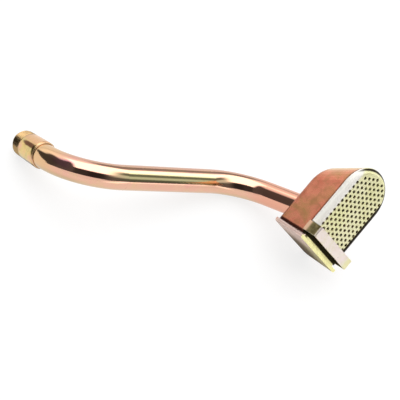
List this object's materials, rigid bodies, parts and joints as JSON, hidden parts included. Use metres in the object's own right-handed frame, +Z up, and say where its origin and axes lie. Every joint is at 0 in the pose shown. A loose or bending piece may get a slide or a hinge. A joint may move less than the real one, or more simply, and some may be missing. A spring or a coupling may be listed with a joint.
{
  "type": "oil pickup tube",
  "caption": "Bent steel oil pickup tube with a tapered pipe thread at one end and a hooded strainer head with a perforated screen and a standoff strap at the other.",
  "frame": {"origin": "middle of the box at the floor, with the part lying as it comes to rest", "axes": "+X along the part's length from the threaded end towards the strainer head, +Z up from the floor"},
  "size_m": [0.2826, 0.0734, 0.0763],
  "materials": {
    "thread_zinc": "yellow zinc plated steel, iridescent, with a dark stain at the tip",
    "tube_zinc": "yellow zinc plated steel, glossy and iridescent",
    "hood_zinc": "yellow zinc plated pressed steel, mottled pink and olive",
    "plate_zinc": "yellow zinc plated steel plate",
    "screen_zinc": "pale yellow zinc plated perforated sheet",
    "strap_zinc": "yellow zinc plated steel strip",
    "weld_zinc": "plated weld bead"
  },
  "bodies": {
    "root": {"threaded_end": "thread_zinc", "pickup_tube": "tube_zinc", "hood": "hood_zinc", "end_plate": "plate_zinc", "screen": "screen_zinc", "standoff_strap": "strap_zinc", "tube_weld": "weld_zinc", "thread_weld": "weld_zinc"}
  },
  "joints": []
}
